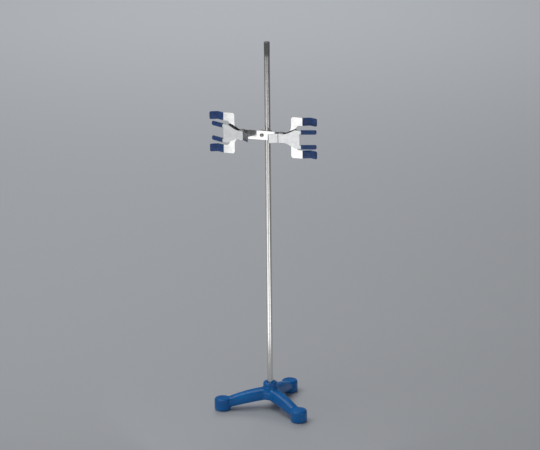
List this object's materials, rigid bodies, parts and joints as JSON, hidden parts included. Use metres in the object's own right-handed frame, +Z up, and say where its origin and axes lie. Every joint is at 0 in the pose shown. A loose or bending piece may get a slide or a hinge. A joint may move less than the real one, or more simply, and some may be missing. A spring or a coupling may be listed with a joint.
{
  "type": "retort stand",
  "caption": "Laboratory retort stand with a cast tripod base, upright steel rod and a double spring clamp with vinyl-covered fingers for burettes.",
  "frame": {"origin": "on the table, under the middle of the whole stand's bounding box; the rod's axis stands 8 mm towards +X and 20 mm towards -Y of it", "axes": "+Z up along the rod; +X along the clamp bar towards the jaw held open; -Y towards the user, the side of the press levers"},
  "size_m": [0.2297, 0.1934, 0.783],
  "materials": {
    "enamel": "glossy blue enamel on cast iron",
    "polished_steel": "polished stainless steel",
    "nickel": "bright nickel plate on steel sheet",
    "zinc": "plain zinc-plated fasteners",
    "vinyl": "dipped navy vinyl, satin"
  },
  "bodies": {
    "base": {"tripod_base": "enamel", "rod_washer": "zinc", "rod_nut": "zinc"},
    "rod": {"rod": "polished_steel"},
    "clamp": {"clamp_bar": "nickel", "wide_cover_left_lower": "vinyl", "wide_cover_left_upper": "vinyl", "wide_cover_right_lower": "vinyl", "wide_cover_right_upper": "vinyl", "pivot_bracket_left": "nickel", "pivot_pin_left": "zinc", "torsion_spring_left": "polished_steel", "pivot_bracket_right": "nickel", "pivot_pin_right": "zinc", "torsion_spring_right": "polished_steel", "clamp_bolt": "zinc"},
    "lever_left": {"lever_left": "nickel", "narrow_cover_left_lower": "vinyl", "narrow_cover_left_upper": "vinyl"},
    "lever_right": {"lever_right": "nickel", "narrow_cover_right_lower": "vinyl", "narrow_cover_right_upper": "vinyl"},
    "jaw": {"rear_jaw": "nickel", "clamp_washer": "zinc"},
    "wing_nut": {"wing_nut": "zinc"}
  },
  "joints": [
    {"name": "rod_turn", "type": "hinge", "parent": "base", "child": "rod", "pos_m": [0.0079, -0.02044, 0.1], "axis": [0, 0, 1], "continuous": true},
    {"name": "clamp_height", "type": "slide", "parent": "rod", "child": "clamp", "axis": [0, 0, 1], "range_m": [-0.42, 0.165]},
    {"name": "left_lever", "type": "hinge", "parent": "clamp", "child": "lever_left", "pos_m": [-0.042, -0.03429, 0.591], "axis": [0, 0, 1], "range_deg": [0, 30], "stiffness_Nm_per_rad": 0.25, "springref_deg": -20.05},
    {"name": "right_lever", "type": "hinge", "parent": "clamp", "child": "lever_right", "pos_m": [0.042, -0.03429, 0.591], "axis": [0, 0, 1], "range_deg": [-17, 13], "stiffness_Nm_per_rad": 0.25, "springref_deg": 33.06},
    {"name": "jaw_slide", "type": "slide", "parent": "clamp", "child": "jaw", "axis": [0, 1, 0], "range_m": [0, 0.0012]},
    {"name": "wing_nut_turn", "type": "hinge", "parent": "jaw", "child": "wing_nut", "pos_m": [-0.0021, -0.02044, 0.591], "axis": [0, 1, 0], "range_deg": [0, 540]}
  ],
  "couplings": [
    {"joint": "wing_nut_turn", "follows": "jaw_slide", "rad_per_m": 7850}
  ]
}
